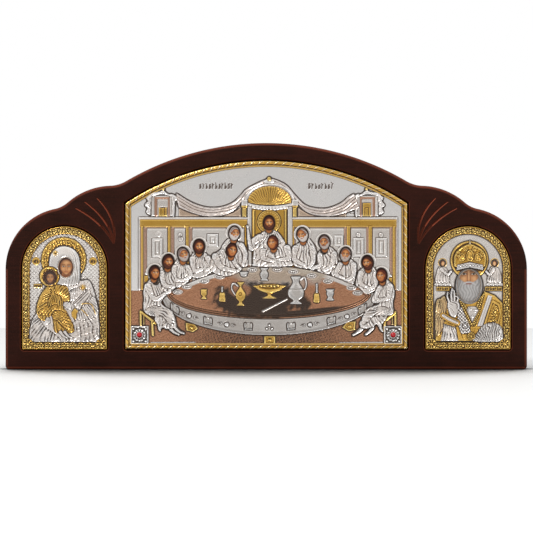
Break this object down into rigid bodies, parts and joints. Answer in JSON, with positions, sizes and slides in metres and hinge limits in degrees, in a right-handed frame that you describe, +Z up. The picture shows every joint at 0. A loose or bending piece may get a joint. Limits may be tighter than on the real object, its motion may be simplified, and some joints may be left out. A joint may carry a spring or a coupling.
{
  "type": "three-panel icon altarpiece",
  "caption": "One-piece dark wooden altarpiece in triptych form, with three arched recesses that hold silvered and gilded relief panels; stands by its own weight.",
  "frame": {"origin": "middle of the underside that it stands on, at the centre of the object's box", "axes": "+Z up, -Y to the front with the reliefs, +X to the viewer's right"},
  "size_m": [0.44, 0.0246, 0.191],
  "materials": {
    "board_wood": "dark brown stain, satin",
    "silvered_sheet": "silvered, partly gilded, dark in its hollows",
    "painted_insert": "painted in flat browns, satin",
    "red_glass": "clear red, polished"
  },
  "bodies": {
    "root": {"board": "board_wood", "centre_plate": "silvered_sheet", "left_cover": "silvered_sheet", "right_cover": "silvered_sheet", "left_painting": "painted_insert", "right_painting": "painted_insert", "stone_left": "red_glass", "stone_right": "red_glass"}
  },
  "joints": []
}
